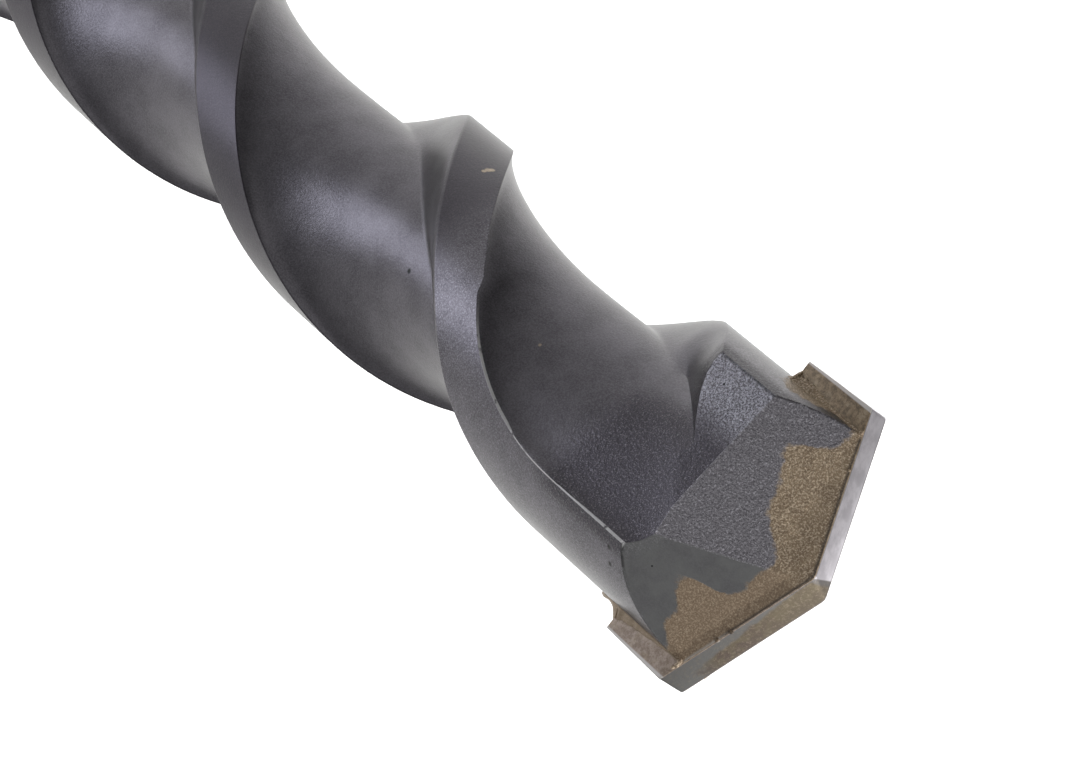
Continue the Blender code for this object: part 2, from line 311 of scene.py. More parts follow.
@dataclass
class Shader:
    """A procedural material on the bit's own coordinates, with a short word for each node."""

    name: str

    def __post_init__(self) -> None:
        """Makes the material and finds its main nodes."""
        self.material = bpy.data.materials.new(self.name)
        self.material.use_nodes = True
        self.tree = self.material.node_tree
        self.surface = self.tree.nodes["Principled BSDF"]
        self.place = self.node("ShaderNodeTexCoord", "Object")

    def node(
        self, kind: str, output: str | int, feeds: dict | None = None, **settings: object
    ) -> Value:
        """Adds one node.

        Args:
            kind: The node's type.
            output: The output that is used, by its name or number.
            feeds: What goes into the inputs, by their names or numbers.
            settings: The node's own settings.

        Returns:
            The output as a value.
        """
        node = self.tree.nodes.new(kind)
        for name, setting in settings.items():
            setattr(node, name, setting)
        for key, value in (feeds or {}).items():
            self.feed(node.inputs[key], value)
        return Value(self, node.outputs[output])

    def feed(self, socket: bpy.types.NodeSocket, value: object) -> None:
        """Links a value to a socket, or sets the socket to a number, vector or colour.

        Args:
            socket: The input that is fed.
            value: What goes into it.
        """
        if isinstance(value, Value):
            self.tree.links.new(value.socket, socket)
        elif isinstance(value, tuple) and len(socket.default_value) == 4:
            socket.default_value = (*value, 1.0)
        else:
            socket.default_value = value

    def set(self, **values: object) -> None:
        """Feeds the main surface's sockets, which are named with _ for a space."""
        for name, value in values.items():
            self.feed(self.surface.inputs[name.replace("_", " ")], value)

    def math(self, operation: str, first: object, second: object = 0.0) -> Value:
        """Works out one number from two others."""
        return self.node("ShaderNodeMath", 0, {0: first, 1: second}, operation=operation)

    def dot(self, vector: Vector) -> Value:
        """Returns how far the place lies along a vector."""
        feeds = {0: self.place, 1: vector}
        return self.node("ShaderNodeVectorMath", "Value", feeds, operation="DOT_PRODUCT")

    def distance(self, point: Vector) -> Value:
        """Returns how far the place lies from a point."""
        feeds = {0: self.place, 1: point}
        return self.node("ShaderNodeVectorMath", "Value", feeds, operation="DISTANCE")

    def axes(self) -> tuple[Value, Value, Value]:
        """Returns the place's three coordinates."""
        return tuple(self.node("ShaderNodeSeparateXYZ", axis, {0: self.place}) for axis in range(3))

    def radius(self) -> Value:
        """Returns how far a place lies from the bit's axis."""
        across, along, _ = self.axes()
        return self.math("SQRT", across * across + along * along)

    def lower_way(self) -> Value:
        """Returns the place along the insert, counted on both faces towards the lower corner."""
        across, along, _ = self.axes()
        return along * self.math("SIGN", across)

    def noise(self, grain: Grain) -> Value:
        """Returns a grain's own noise of 0 to 1."""
        feeds = {"Scale": 1.0 / grain.size, "Detail": grain.detail, "Roughness": grain.rough}
        return self.node("ShaderNodeTexNoise", "Fac", {"Vector": self.place, **feeds})

    def patches(self, grain: Grain) -> Value:
        """Returns 1 in a grain's patches and 0 between them, with eased borders."""
        return self.noise(grain).step(*grain.span)

    def curve(self, value: Value, points: Sequence[tuple[float, float]]) -> Value:
        """Returns a height read off a smooth curve through (value, height) points of 0 to 1.

        Args:
            value: The value to look up.
            points: The curve's points, from the left to the right.

        Returns:
            The curve's height there.
        """
        height = self.node("ShaderNodeFloatCurve", "Value", {"Value": value})
        mapping = height.socket.node.mapping
        line = mapping.curves[0]
        line.points[0].location, line.points[-1].location = points[0], points[-1]
        for point in points[1:-1]:
            line.points.new(*point)
        mapping.update()
        return height

    def bump(self, height: Value, reach: float, edge: float) -> None:
        """Roughens the surface by a height in metres over rounded edges.

        Args:
            height: The lumps, as 0 to 1.
            reach: How far out a height of 1 stands.
            edge: The radius that the edges seem to have.
        """
        rounded = self.node("ShaderNodeBevel", 0, {"Radius": edge}, samples=4)
        feeds = {"Distance": reach, "Height": height, "Normal": rounded}
        self.set(Normal=self.node("ShaderNodeBump", 0, feeds))


@dataclass(frozen=True)
class Flux:
    """Brown braze flux that has run from the insert over the facets beside it.

    The reach goes across the head from the upper corner to the lower one, as pairs of the
    place along the insert and of how far the flux has run from its broad face.
    """

    half_length: float = 0.006
    longest: float = 0.003
    reach: tuple[tuple[float, float], ...] = (
        (-0.0060, 0.00015), (-0.0048, 0.00025), (-0.0043, 0.00040), (-0.0038, 0.00076),
        (-0.0035, 0.00118), (-0.0031, 0.00141), (-0.0026, 0.00138), (-0.0021, 0.00128),
        (-0.0011, 0.00125), (-0.0006, 0.00103), (0.0002, 0.00072), (0.0008, 0.00078),
        (0.0012, 0.00084), (0.0017, 0.00072), (0.0020, 0.00080), (0.0023, 0.00140),
        (0.0025, 0.00188), (0.0029, 0.00183), (0.0033, 0.00153), (0.0037, 0.00122),
        (0.0042, 0.00114), (0.0050, 0.00054), (0.0060, 0.00040),
    )
    facet_span: Span = (0.1556, 0.1559)
    edge_span: Span = (-0.00004, 0.00010)
    edge_lumps: Grain = Grain(0.0005, 4.0, 0.65)
    edge_swing: float = 0.0005
    land_centre: Vector = field(default_factory=lambda: Vector((0.0005, -0.00505, 0.15510)))
    land_span: Span = (0.00145, 0.00115)
    land_swing: float = 0.0010
    clouds: Grain = Grain(0.0008, 4.0, 0.65, (0.26, 0.78))
    flecks: Grain = Grain(0.000065, 3.0, 0.7, (0.44, 0.68))
    lower_span: Span = (-0.0002, 0.0008)
    lower_flecks: float = 0.36
    shade_dark: Colour = (0.215, 0.153, 0.099)
    shade_mid: Colour = (0.355, 0.262, 0.168)
    shade_light: Colour = (0.74, 0.60, 0.44)

    def mask(self, shader: Shader) -> Value:
        """Returns 1 where flux covers the steel's facets, and 0 elsewhere.

        Args:
            shader: The material that is being made.

        Returns:
            The mask.
        """
        across, _, height = shader.axes()
        points = [
            (0.5 + 0.5 * along / self.half_length, reach / self.longest)
            for along, reach in self.reach
        ]
        reach = shader.curve(shader.lower_way() * (0.5 / self.half_length) + 0.5, points)
        unrest = shader.noise(self.edge_lumps) - 0.5
        away = abs(across) - INSERT_THICKNESS / 2
        left = reach * self.longest + unrest * self.edge_swing - away
        on_facets = left.step(*self.edge_span) * height.step(*self.facet_span)
        return on_facets | self.on_lands(shader, unrest)

    def on_lands(self, shader: Shader, unrest: Value) -> Value:
        """Returns 1 where flux covers the lands beside the insert's upper corner.

        Args:
            shader: The material that is being made.
            unrest: Noise from -0.5 to 0.5 that frets the edge.

        Returns:
            The mask.
        """
        front, back = [shader.distance(side.turn @ self.land_centre) for side in Side]
        gap = shader.math("MINIMUM", front, back) + unrest * self.land_swing
        return gap.step(*self.land_span)

    def colour(self, shader: Shader) -> Value:
        """Returns the flux's mottled brown, which is darker and calmer on the lower side.

        Args:
            shader: The material that is being made.

        Returns:
            The colour.
        """
        clouds = shader.patches(self.clouds)
        lower = shader.lower_way().step(*self.lower_span)
        body = lower.blend(clouds.blend(self.shade_dark, self.shade_mid), self.shade_dark)
        flecks = shader.patches(self.flecks) * lower.between(1.0, self.lower_flecks)
        return flecks.blend(body, self.shade_light)


@dataclass
class HeadMarks:
    """Where the body's ground faces and lands lie, each as a mask of 0 to 1."""

    shader: Shader
    crisp: float = 0.00003
    soft: float = 0.0007
    patch_span: Span = (-0.0014, -0.0030)
    land_span: Span = (BODY_RADIUS - 0.00008, BODY_RADIUS - 0.00003)
    way: Value = field(init=False)
    flat: Value = field(init=False)
    near_flat: Value = field(init=False)
    rake: Value = field(init=False)
    heel: Value = field(init=False)
    lit_patch: Value = field(init=False)
    rough: Value = field(init=False)
    land: Value = field(init=False)

    def __post_init__(self) -> None:
        """Works out the masks."""
        shader = self.shader
        self.way = shader.lower_way()
        self.flat = self.on_planes(FLAT_NORMAL, FLAT_DISTANCE, self.crisp)
        self.near_flat = self.on_planes(FLAT_NORMAL, FLAT_DISTANCE, self.soft)
        self.rake = self.on_planes(RAKE_NORMAL, BIT_LENGTH + RAKE_RISE, self.crisp)
        self.heel = self.on_planes(HEEL_NORMAL, BIT_LENGTH + HEEL_RISE, self.crisp)
        # The upper end of each head flat, where a highlight is painted.
        self.lit_patch = self.flat * self.way.step(*self.patch_span)
        self.rough = self.near_flat | self.rake
        self.land = shader.radius().step(*self.land_span)

    def on_planes(self, normal: Vector, reach: float, fade: float) -> Value:
        """Marks a plane of the head and its copy half a turn on.

        Args:
            normal: The plane's normal.
            reach: How far the plane lies along it.
            fade: How far off the plane the mark has gone.

        Returns:
            1 on the two planes and 0 away from them.
        """
        first, second = [
            abs(self.shader.dot(side.turn @ normal) - reach).step(fade, fade / 3) for side in Side
        ]
        foot = BIT_LENGTH - FLAT_LENGTH
        in_head = self.shader.axes()[2].step(foot - 3 * fade, foot)
        return (first | second) * in_head


@dataclass(frozen=True)
class BlastedSteel:
    """Dark grit-blasted steel, bright along rubbed edges where a highlight is painted too, with flux
    beside the insert and painted highlights, glints and shade.

    A pit or a crumb is its place, in three numbers, and its radius.
    """

    dark: Colour = (0.100, 0.094, 0.106)
    light: Colour = (0.34, 0.325, 0.355)
    shadow: Colour = (0.060, 0.054, 0.066)
    # Painted highlight: the light bluish flecks on the upper end of each head flat.
    lit_patch: Colour = (0.42, 0.42, 0.47)
    # Painted glints: the colour of the bright flecks.
    glint: Colour = (0.66, 0.64, 0.70)
    ground: Colour = (0.235, 0.238, 0.236)
    # Rubbed edge: a light colour, kept dull so that it shows from every side as a painted highlight.
    worn_glint: Colour = (0.66, 0.65, 0.66)
    edge_tint: Colour = (0.78, 0.78, 0.75)
    crumb: Colour = (0.50, 0.41, 0.30)
    # Near black for the painted shade of the pits, also used for the rim lines.
    pit: Colour = (0.02, 0.02, 0.02)
    pits: tuple[tuple[float, float, float, float], ...] = (
        (0.00387, 0.00332, 0.15455, 0.00013), (0.00341, 0.00379, 0.15465, 0.00013),
        (0.00284, -0.00352, 0.15332, 0.00007), (0.00322, 0.00289, 0.15607, 0.00005),
        (0.00307, 0.00073, 0.13770, 0.00014),
    )
    crumbs: tuple[tuple[float, float, float, float], ...] = (
        (0.00306, -0.00408, 0.13782, 0.00017), (0.00321, -0.00396, 0.13783, 0.00013),
        (0.00294, -0.00416, 0.13787, 0.00015), (0.00184, -0.00135, 0.15748, 0.00006),
        (0.00182, -0.00155, 0.15744, 0.00007), (0.00179, -0.00177, 0.15741, 0.00007),
        (0.00175, -0.00198, 0.15739, 0.00005), (0.00372, -0.00043, 0.14598, 0.00008),
    )
    blast: Grain = Grain(0.000065, 3.0, 0.72, (0.38, 0.64))
    patch_span: Span = (0.42, 0.58)
    patch_share: float = 0.85
    swing: Span = (0.25, 0.45)
    rough_swing: float = 0.55
    level: Span = (0.16, 0.84)
    tones: Grain = Grain(0.0016, 3.0, 0.55, (0.3, 0.7))
    tone_share: float = 0.2
    mottle: Grain = Grain(0.0007, 5.0, 0.7, (0.3, 0.7))
    ground_share: Span = (0.50, 0.95)
    flat_shadow: float = 0.9
    # The flecks of the painted glints.
    glints: Grain = Grain(0.00006, 3.0, 0.7, (0.54, 0.64))
    glint_share: Span = (0.22, 0.9)
    # Painted shade on the lands: the heights over which it comes in, and how dark it gets.
    land_shade_span: Span = (0.1418, 0.1388)
    land_shade_share: float = 0.8
    rim_span: Span = (BODY_RADIUS - 0.00010, BODY_RADIUS - 0.00003)
    rim_heel: Span = (0.0040, 0.0034)
    rim_breaks: Grain = Grain(0.00025, 4.0, 0.7, (0.28, 0.50))
    rim_share: float = 0.65
    wear_glint_breaks: Grain = Grain(0.0003, span=(0.22, 0.42))
    pit_core: float = 0.4
    crumb_core: float = 0.5
    crumb_share: float = 0.7
    lumps: Grain = Grain(0.00012, 3.0, 0.65)
    lump_share: Span = (0.25, 1.0)
    heel_lumps: float = 0.35
    lump_height: float = 0.000045
    edge_round: float = 0.00005
    bare_metal: float = 0.82
    dull_metal: float = 0.25
    bare_rough: float = 0.33
    flux_rough: float = 0.6

    def material(self, flux: Flux) -> Material:
        """Builds the steel's material.

        Args:
            flux: What covers the facets beside the insert.

        Returns:
            The finished material.
        """
        shader = Shader("blasted_steel")
        marks = HeadMarks(shader)
        colour = self.rims(marks, self.ground_faces(marks, self.blasted(marks)))
        # The rubbed edge along the front land: partly real rubbing, partly a painted highlight.
        wear_glint = shader.node("ShaderNodeAttribute", "Fac", attribute_name="wear_glint")
        worn_glint = wear_glint * shader.patches(self.wear_glint_breaks)
        colour = self.spots(shader, worn_glint.blend(colour, self.worn_glint))
        fluxed = flux.mask(shader)
        colour = fluxed.blend(colour, flux.colour(shader))
        metal = (fluxed | worn_glint).between(self.bare_metal, self.dull_metal)
        rough = fluxed.between(self.bare_rough, self.flux_rough)
        shader.set(Base_Color=colour, Metallic=metal, Roughness=rough)
        shader.set(Coat_Weight=0.25, Coat_Roughness=0.45, Specular_Tint=self.edge_tint)
        weight = (marks.rough | fluxed).between(*self.lump_share)
        weight = weight * marks.heel.between(1.0, self.heel_lumps)
        shader.bump(shader.noise(self.lumps) * weight, self.lump_height, self.edge_round)
        return shader.material

    def blasted(self, marks: HeadMarks) -> Value:
        """Returns the speckle of the blasted steel, which is coarsest and lightest on the head, with a
        painted highlight on the flats' upper ends.

        Args:
            marks: The head's masks.

        Returns:
            The colour.
        """
        grain = marks.shader.noise(self.blast)
        swing = (marks.rough | marks.land).between(*self.swing) + marks.rough * self.rough_swing
        # The rake facets' speckle is lifted much lighter: partly their own finish, partly a painted
        # highlight.
        speckle = (grain.step(*self.blast.span) - 0.5) * swing + marks.rake.between(*self.level)
        tone = marks.shader.patches(self.tones) * self.tone_share
        colour = tone.blend(speckle.blend(self.dark, self.light), self.light)
        # Painted highlight: light flecks over the upper end of each flat.
        flecks = marks.lit_patch * grain.step(*self.patch_span) * self.patch_share
        return flecks.blend(colour, self.lit_patch)

    def ground_faces(self, marks: HeadMarks, colour: Value) -> Value:
        """Adds the ground heels, painted shade on the flats, painted glints, and painted shade on the
        lands further from the tip.

        Args:
            marks: The head's masks.
            colour: The blasted steel's colour.

        Returns:
            The colour with these on it.
        """
        shader = marks.shader
        mottle = shader.patches(self.mottle).between(*self.ground_share)
        colour = (marks.heel * mottle).blend(colour, self.ground)
        lower_flat = marks.near_flat - (marks.lit_patch | marks.rake | marks.heel)
        colour = (lower_flat * self.flat_shadow).blend(colour, self.shadow)
        # Painted glints: bright flecks on the rough faces and the lands, strongest on the rake facets.
        glints = shader.patches(self.glints) * (marks.rough | marks.land)
        colour = (glints * marks.rake.between(*self.glint_share)).blend(colour, self.glint)
        # Painted shade: the lands turn darker below a height of about 0.142 m.
        land_shade = shader.axes()[2].step(*self.land_shade_span) * marks.land
        return (land_shade * self.land_shade_share).blend(colour, self.shadow)

    def rims(self, marks: HeadMarks, colour: Value) -> Value:
        """Adds the broken dark line where the head's faces meet the lands.

        Args:
            marks: The head's masks.
            colour: The steel's colour so far.

        Returns:
            The colour with the line on it.
        """
        rim = marks.shader.radius().step(*self.rim_span) * self.rim_share
        faces = marks.flat | marks.rake | marks.heel * marks.way.step(*self.rim_heel)
        return (rim * faces * marks.shader.patches(self.rim_breaks)).blend(colour, self.pit)

    def spots(self, shader: Shader, colour: Value) -> Value:
        """Adds the pits, as spots of painted shade, and the crumbs of dirt.

        Args:
            shader: The material that is being made.
            colour: The steel's colour so far.

        Returns:
            The colour with these on it.
        """
        # Each pit is a dark spot: painted shade for a hole that the mesh doesn't have.
        for *place, size in self.pits:
            hole = shader.distance(Vector(place)).step(size, size * self.pit_core)
            colour = hole.blend(colour, self.pit)
        for *place, size in self.crumbs:
            spot = shader.distance(Vector(place)).step(size, size * self.crumb_core)
            colour = (spot * self.crumb_share).blend(colour, self.crumb)
        return colour


@dataclass(frozen=True)
class GroundCarbide:
    """Pale ground carbide whose lower flank and broad faces are stained by flux."""

    bright: Colour = (0.72, 0.685, 0.72)
    cloudy: Colour = (0.55, 0.52, 0.55)
    grey: Colour = (0.168, 0.164, 0.157)
    pink: Colour = (0.133, 0.102, 0.083)
    tan: Colour = (0.168, 0.139, 0.096)
    brown_dark: Colour = (0.175, 0.130, 0.082)
    brown_light: Colour = (0.38, 0.285, 0.185)
    rosy_dark: Colour = (0.27, 0.205, 0.155)
    rosy_light: Colour = (0.46, 0.37, 0.30)
    flank_fleck: Colour = (0.28, 0.228, 0.168)
    face_fleck: Colour = (0.52, 0.42, 0.30)
    # Unstained carbide along the broad faces' outer edges, partly a painted highlight.
    edge: Colour = (0.80, 0.77, 0.74)
    outline: Colour = (0.16, 0.155, 0.16)
    border_lean: float = 0.17
    lower_span: Span = (-0.00034, -0.00026)
    chisel_span: Span = (-0.00020, -0.00006)
    chisel_share: float = 0.75
    face_span: Span = (INSERT_THICKNESS / 2 - 0.00006, INSERT_THICKNESS / 2 - 0.00002)
    line_span: Span = (INSERT_THICKNESS / 2 - 0.00011, INSERT_THICKNESS / 2 - 0.00007)
    line_breaks: Grain = Grain(0.0004, 3.0, 0.6)
    line_share: Span = (0.5, 0.9)
    clouds: Grain = Grain(0.0006, 4.0, 0.6, (0.35, 0.65))
    flecks: Grain = Grain(0.00012, 3.0, 0.7, (0.50, 0.66))
    over_flecks: float = 0.3
    stain_flecks: float = 0.45
    blotches: Grain = Grain(0.0006, 4.0, 0.70, (0.40, 0.60))
    point_span: Span = (0.0036, 0.0012)
    point_share: float = 0.6
    corner_lumps: Grain = Grain(0.0006, 3.0)
    corner_swing: float = 0.0016
    corner_span: Span = (0.0050, 0.0062)
    lip_lean: float = 0.13
    lip_swing: float = 0.0004
    lip_span: Span = (0.00074, 0.00094)
    mottle: Grain = Grain(0.00018, 4.0, 0.75, (0.36, 0.64))
    rosy_span: Span = (-0.001, 0.001)
    face_flecks: Grain = Grain(0.0005, 5.0, 0.75, (0.53, 0.66))
    face_share: float = 0.45
    edge_span: Span = (CUT_RADIUS - 0.00019, CUT_RADIUS - 0.00013)
    edge_share: float = 0.8
    metal: Span = (0.85, 0.3)
    roughness: Span = (0.30, 0.5)
    lumps: Grain = Grain(0.00016, 3.0, 0.6)
    lump_share: Span = (0.2, 0.8)
    lump_height: float = 0.000012
    edge_round: float = 0.00004

    def material(self) -> Material:
        """Builds the carbide's material.

        Returns:
            The finished material.
        """
        shader = Shader("ground_carbide")
        across, along, _ = shader.axes()
        border = along + across * -self.border_lean
        lower = border.step(*self.lower_span)
        on_face = abs(across).step(*self.face_span)
        colour = on_face.blend(self.flanks(shader, border, lower), self.faces(shader))
        shader.set(Base_Color=colour, Metallic=on_face.between(*self.metal))
        shader.set(Roughness=lower.between(*self.roughness))
        lumps = shader.noise(self.lumps) * lower.between(*self.lump_share)
        shader.bump(lumps, self.lump_height, self.edge_round)
        return shader.material

    def flanks(self, shader: Shader, border: Value, lower: Value) -> Value:
        """Colours the two ground flanks, with dark lines along their borders.

        Args:
            shader: The material that is being made.
            border: How far a place lies past the chisel edge, towards the lower corner.
            lower: 1 on the lower flank and 0 on the upper one.

        Returns:
            The flanks' colour.
        """
        across, _, _ = shader.axes()
        flecks = shader.patches(self.flecks)
        clean = shader.patches(self.clouds).blend(self.bright, self.cloudy)
        colour = lower.blend(clean, self.stained(shader, flecks))
        lines = abs(across).step(*self.line_span)
        lines = lines * shader.noise(self.line_breaks).between(*self.line_share)
        colour = lines.blend(colour, self.outline)
        chisel = lower - border.step(*self.chisel_span)
        colour = (chisel * self.chisel_share).blend(colour, self.outline)
        return (lower * flecks * self.over_flecks).blend(colour, self.flank_fleck)

    def stained(self, shader: Shader, flecks: Value) -> Value:
        """Returns the lower flank's stain: tan at the point, grey at the corner and the lip.

        Args:
            shader: The material that is being made.
            flecks: The light flecks, as 0 to 1.

        Returns:
            The colour.
        """
        across, along, _ = shader.axes()
        colour = shader.patches(self.blotches).blend(self.pink, self.tan)
        colour = (along.step(*self.point_span) * self.point_share).blend(colour, self.tan)
        colour = (flecks * self.stain_flecks).blend(colour, self.flank_fleck)
        corner = along + shader.noise(self.corner_lumps) * self.corner_swing
        colour = corner.step(*self.corner_span).blend(colour, self.grey)
        lip = across + along * self.lip_lean + shader.noise(self.clouds) * self.lip_swing
        return lip.step(*self.lip_span).blend(colour, self.grey)

    def faces(self, shader: Shader) -> Value:
        """Returns the broad faces' stain, with unstained carbide along their outer edges, partly a
        painted highlight.

        Args:
            shader: The material that is being made.

        Returns:
            The colour.
        """
        _, along, _ = shader.axes()
        mottle = shader.patches(self.mottle)
        brown = mottle.blend(self.brown_dark, self.brown_light)
        rosy = mottle.blend(self.rosy_dark, self.rosy_light)
        colour = shader.lower_way().step(*self.rosy_span).blend(brown, rosy)
        flecks = shader.patches(self.face_flecks) * self.face_share
        colour = flecks.blend(colour, self.face_fleck)
        # Light line along the outer edges: partly unstained carbide, partly a painted highlight.
        outside = abs(along).step(*self.edge_span) * self.edge_share
        return outside.blend(colour, self.edge)


@dataclass(frozen=True)
class BrazeMetal:
    """Rough braze under the same brown flux, with painted shade in its seam against the insert and a
    painted highlight by the lower corner.
    """

    # Painted shade in the seam where the braze meets the insert.
    seam: Colour = (0.035, 0.03, 0.028)
    # Painted highlight where the insert's lip catches the light over the seam.
    lip_highlight: Colour = (0.50, 0.46, 0.42)
    land_span: Span = (BODY_RADIUS - 0.00005, BODY_RADIUS + 0.00005)
    lower_span: Span = (-0.0003, 0.0003)
    pale_share: float = 0.45
    seam_span: Span = (0.00007, 0.00001)
    seam_end: Span = (BODY_RADIUS, BODY_RADIUS - 0.0002)
    seam_share: float = 0.75
    lip_highlight_span: Span = (0.0030, 0.0037)
    lip_highlight_share: float = 0.8
    lumps: Grain = Grain(0.00016, 3.0, 0.6)
    lump_height: float = 0.00003
    edge_round: float = 0.00004

    def material(self, flux: Flux) -> Material:
        """Builds the braze's material.

        Args:
            flux: The flux whose brown it shares.

        Returns:
            The finished material.
        """
        shader = Shader("braze_metal")
        across, _, _ = shader.axes()
        way, radius = shader.lower_way(), shader.radius()
        pale = radius.step(*self.land_span) * way.step(*self.lower_span) * self.pale_share
        colour = pale.blend(flux.colour(shader), flux.shade_light)
        away = abs(across) - INSERT_THICKNESS / 2
        # Painted shade along the seam against the insert's broad faces.
        seam = away.step(*self.seam_span) * radius.step(*self.seam_end) * self.seam_share
        # Painted highlight: past about 3 mm towards the lower corner the seam turns light.
        line = (way.step(*self.lip_highlight_span) * self.lip_highlight_share).blend(self.seam, self.lip_highlight)
        shader.set(Base_Color=seam.blend(colour, line), Metallic=0.25, Roughness=0.55)
        shader.bump(shader.noise(self.lumps), self.lump_height, self.edge_round)
        return shader.material


@dataclass
class SteelBody:
    """The forged steel body: grooved shank, neck, two helical flutes and a ground head.

    A wall is the degrees past the leading edge at which it starts, the degrees that it
    takes, and how far its ends are eased.
    """

    web_radius: float = 0.00315
    shank_radius: float = 0.0050
    shank_chamfer: float = 0.0010
    neck_end: float = 0.052
    seam_height: float = 0.046
    lead: float = 0.035
    land_angle: float = radians(31)
    valley_angle: float = radians(65)
    valley_tilt: float = 0.09
    slope_power: float = 0.6
    run_in: float = 0.014
    fade_start: float = 0.0114
    fade_length: float = 0.0096
    head_length: float = 0.0077
    twist_end: float = 0.0045
    edge_blend: float = radians(14)
    chamfer_in: float = radians(0.24)
    chamfer_out: float = radians(0.20)
    soft_wall: tuple[float, float, float] = (0.5, 24.0, 0.6)
    steep_wall: tuple[float, float, float] = (1.0, 16.3, 0.45)
    soft_foot: float = 27.0
    steep_foot: float = 16.0
    steep_start: float = 0.0112
    steep_length: float = 0.0022
    settle_start: float = 0.0125
    settle_length: float = 0.0042
    helix_rim: float = radians(2.5)
    least_ledge: float = radians(1.0)
    least_wall: float = radians(2.0)
    worn_rim: float = radians(0.25)
    flat_stations: int = 8
    wall_stations: int = 14
    slope_stations: int = 32
    land_stations: int = 20
    lag: float = radians(4.8)
    lag_start: float = 0.1450
    lag_length: float = 0.0038
    # Where the rubbed edge with its painted highlight comes in up the land.
    worn_glint_from: float = 0.1432
    worn_glint_length: float = 0.002
    nick_height: float = 0.14317
    nick_step: float = radians(2.6)
    nick_length: float = 0.0024
    burr_length: float = 0.0004
    burr_out: float = radians(1.6)
    slot_margin: float = 0.00006
    drive_width: float = 0.0036
    drive_floor: float = 0.0031
    drive_length: float = 0.0265
    drive_runout: float = 0.001
    drive_lean: float = 0.35
    ball_radius: float = 0.0035
    ball_depth: float = 0.0016
    ball_start: float = 0.0085
    ball_stretch: float = 0.0105
    dense_from: float = 0.112
    head_seam: float = 0.1483

    @property
    def flat_half(self) -> float:
        """Half the angle that a head flat spans on the body."""
        return acos(FLAT_DISTANCE / BODY_RADIUS)

    def lead_angle(self, height: float) -> float:
        """Returns the angle of the helical leading edge, which lags below the head's run.

        Args:
            height: The height of the section.

        Returns:
            The angle round the axis.
        """
        station = min(height, BIT_LENGTH - self.twist_end)
        first = FLAT_TURN - self.flat_half
        lag = self.lag * smooth_step((self.lag_start - height) / self.lag_length)
        return first + (station - BIT_LENGTH + self.head_length) * 2 * pi / self.lead - lag

    def flute_width(self, height: float) -> float:
        """Returns the flute's angle, whose trailing edge bends into the head flat's edge.

        Args:
            height: The height of the section.

        Returns:
            The angle from the flute's leading edge to its trailing one.
        """
        lead = self.lead_angle(height)
        helical = lead + pi - self.land_angle
        straight = FLAT_TURN + self.flat_half
        nearer = min(helical, straight)
        total = exp((nearer - helical) / self.edge_blend)
        total += exp((nearer - straight) / self.edge_blend)
        return nearer - self.edge_blend * log(total) - lead

    def land_growth(self, height: float, side: Side) -> float:
        """Returns how far the front land's edge stands out below its nick, with the burr.

        Args:
            height: The height of the section.
            side: The half of the bit, of which only the front one is nicked.

        Returns:
            The angle that the land has more.
        """
        if side is Side.BACK or height > self.nick_height:
            return 0.0
        below = self.nick_height - height
        burr = self.burr_out * max(1 - below / self.burr_length, 0.0)
        return self.nick_step * smooth_step(1 - below / self.nick_length) + burr

    def near_head(self, height: float) -> float:
        """Returns 1 where the flute has its steep, creased wall by the head, and 0 below it."""
        return smooth_step((height - BIT_LENGTH + self.steep_start) / self.steep_length)

    def wall_end(self, height: float) -> float:
        """Returns the angle past the leading edge at which the wall meets the flute's floor."""
        return radians(self.soft_foot - (self.soft_foot - self.steep_foot) * self.near_head(height))

    def wall_share(self, height: float, angle: float) -> float:
        """Returns the share of the full depth that the leading wall has reached at an angle.

        Args:
            height: The height of the section.
            angle: The angle past the flute's leading edge.

        Returns:
            The share, from 0 to 1.
        """
        soft, steep = [
            eased((degrees(angle) - start) / length, ease)
            for start, length, ease in (self.soft_wall, self.steep_wall)
        ]
        return soft + (steep - soft) * self.near_head(height)

    def flute_radius(self, height: float, angle: float, width: float, growth: float = 0.0) -> float:
        """Returns the flute floor's distance from the axis.

        Args:
            height: The height of the section.
            angle: The angle past the flute's leading edge.
            width: The flute's angle.
            growth: How far the land ahead stands out over the flute's far edge.

        Returns:
            The distance from the axis.
        """
        valley = self.valley_angle * width / (pi - self.land_angle)
        if angle <= valley:
            short = max(valley - angle, 0.0) / valley
            floor = 1 - self.valley_tilt * short * short
            share = self.wall_share(height, angle)
            head = self.near_head(height)
            share = share * floor * (1 - head) + min(share, floor) * head
        else:
            past = min((angle - valley) / (width - valley), 1.0)
            grown = min((angle - valley) / (width - growth - valley), 1.0)
            past += (grown - past) * grown ** 6
            share = max(1 - past * past, 0.0) ** self.slope_power
        run_in = smooth_step((height - self.neck_end) / self.run_in)
        fade = min(max((height - BIT_LENGTH + self.fade_start) / self.fade_length, 0.0), 1.0)
        depth = (BODY_RADIUS - self.web_radius) * run_in * max(sqrt(1 - fade * fade), 0.2)
        return self.outer_radius(height) - depth * share

    def outer_radius(self, height: float) -> float:
        """Returns the shank's, neck's or lands' distance from the axis.

        Args:
            height: The height of the section.

        Returns:
            The distance.
        """
        if height < self.shank_chamfer:
            return self.shank_radius - (self.shank_chamfer - height)
        fluted = smooth_step((height - self.neck_end) / self.run_in)
        return self.shank_radius + (BODY_RADIUS - self.shank_radius) * fluted

    def flat_radius(self, height: float, angle: float) -> float:
        """Returns the head flat's distance from the axis, or a large one where it has none.

        Args:
            height: The height of the section.
            angle: The angle round the axis.

        Returns:
            The distance.
        """
        if height < BIT_LENGTH - FLAT_LENGTH or abs(angle - FLAT_TURN) > radians(75):
            return 1.0
        return FLAT_DISTANCE / cos(angle - FLAT_TURN)

